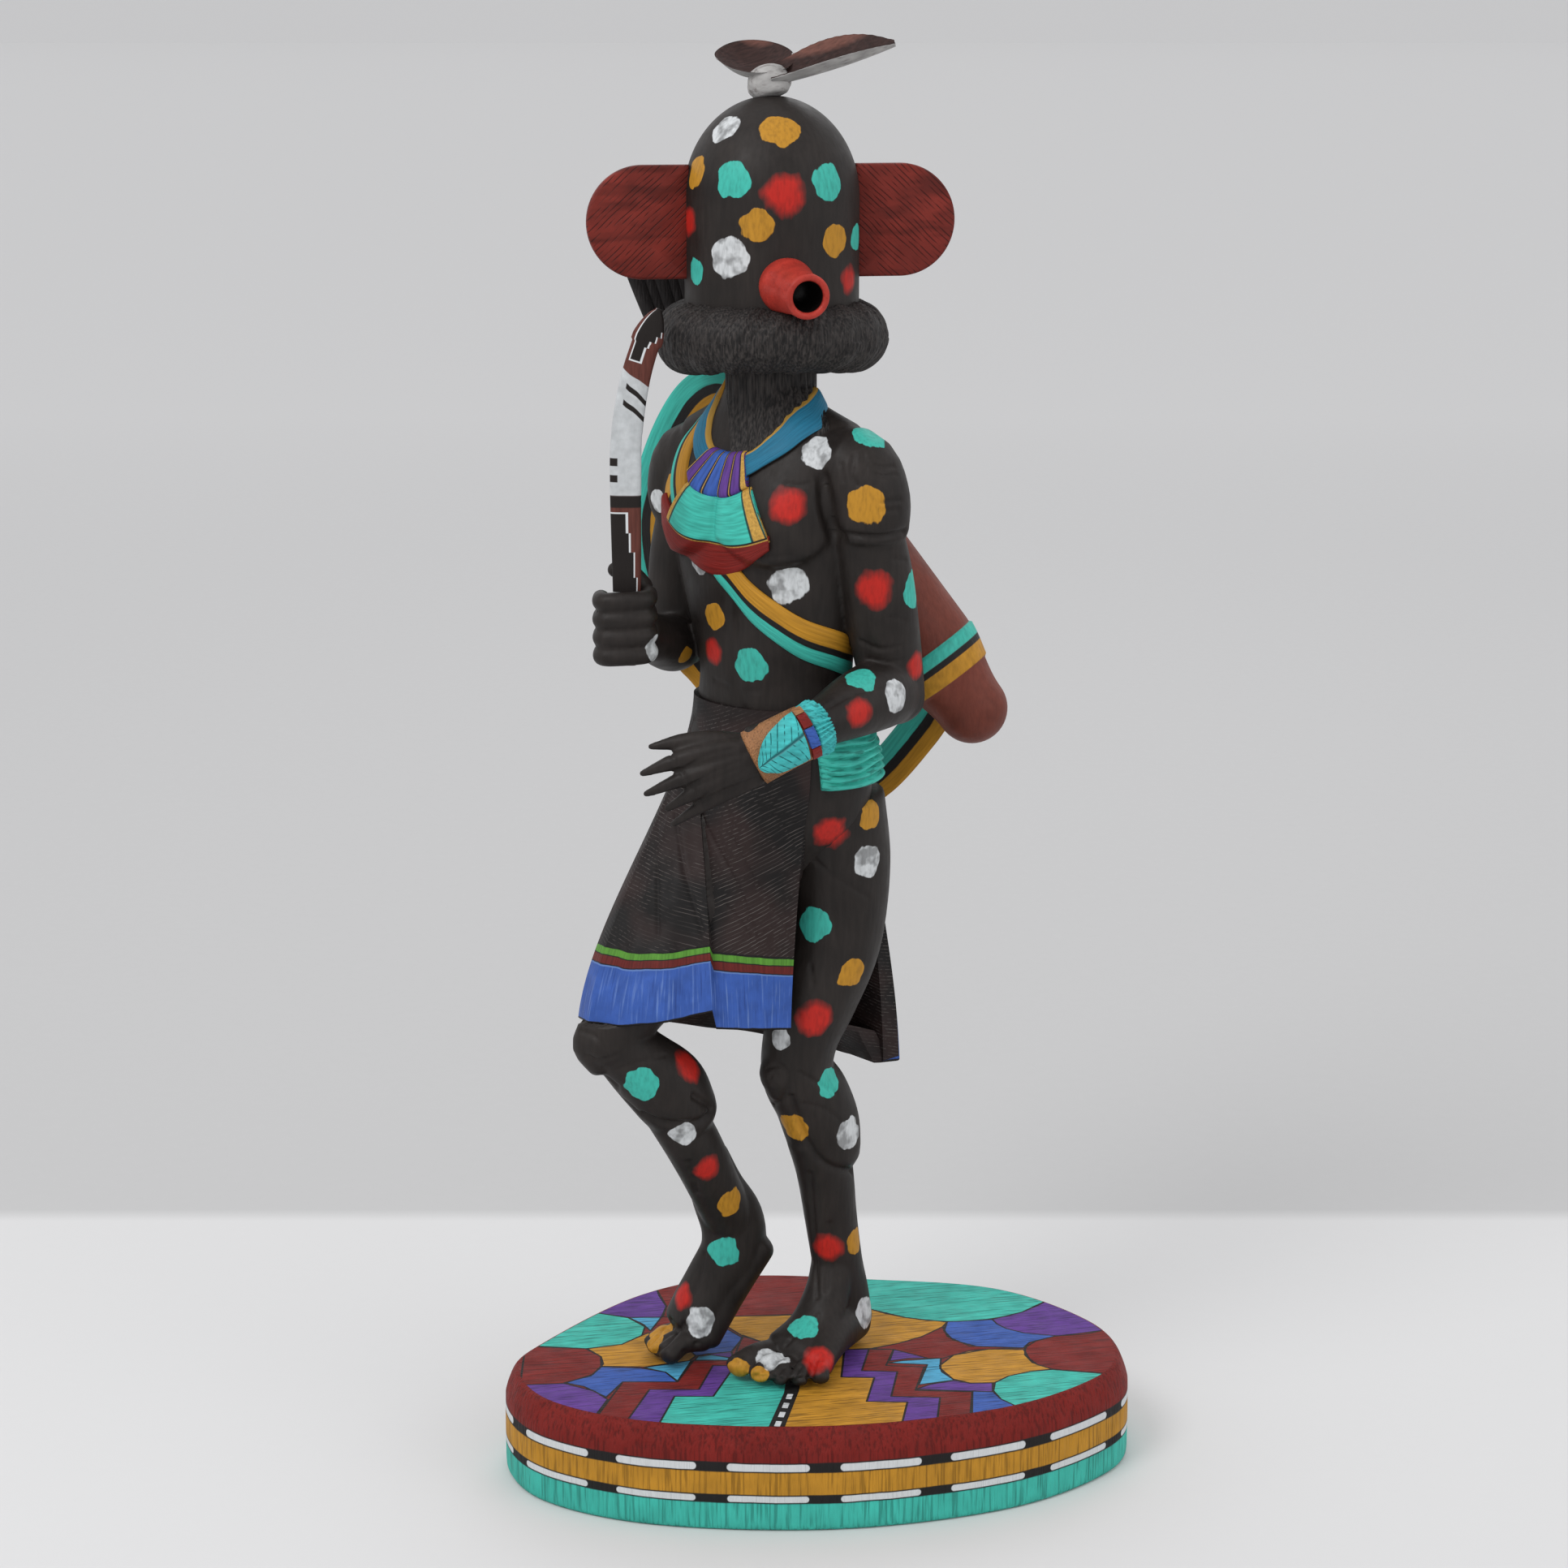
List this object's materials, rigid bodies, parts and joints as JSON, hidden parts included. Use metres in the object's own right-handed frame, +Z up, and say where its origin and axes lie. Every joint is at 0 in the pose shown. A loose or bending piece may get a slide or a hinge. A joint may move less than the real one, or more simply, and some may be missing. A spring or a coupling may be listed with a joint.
{
  "type": "carved standing figure",
  "caption": "Painted carved wooden dancer with a domed mask, tube snout, ear paddles, kilt, throwing stick and back bundle, on an oval base.",
  "frame": {"origin": "centre of the base's underside", "axes": "+Z up along the figure, +Y away from the viewer, +X to the viewer's right along the oval base"},
  "size_m": [0.2245, 0.1458, 0.5022],
  "materials": {
    "base_paint": "matt painted",
    "body_paint": "matt painted",
    "ear_paint": "matt painted",
    "snout_paint": "satin painted",
    "feather_paint": "matt painted",
    "fan_paint": "matt painted",
    "stick_paint": "matt painted",
    "bundle_paint": "matt painted",
    "strap_paint": "matt painted"
  },
  "bodies": {
    "root": {"base": "base_paint", "figure": "body_paint", "left_ear": "ear_paint", "right_ear": "ear_paint", "snout": "snout_paint", "crest_feathers": "feather_paint", "head_fan": "fan_paint", "throwing_stick": "stick_paint", "back_bundle": "bundle_paint", "carrying_strap": "strap_paint"}
  },
  "joints": []
}
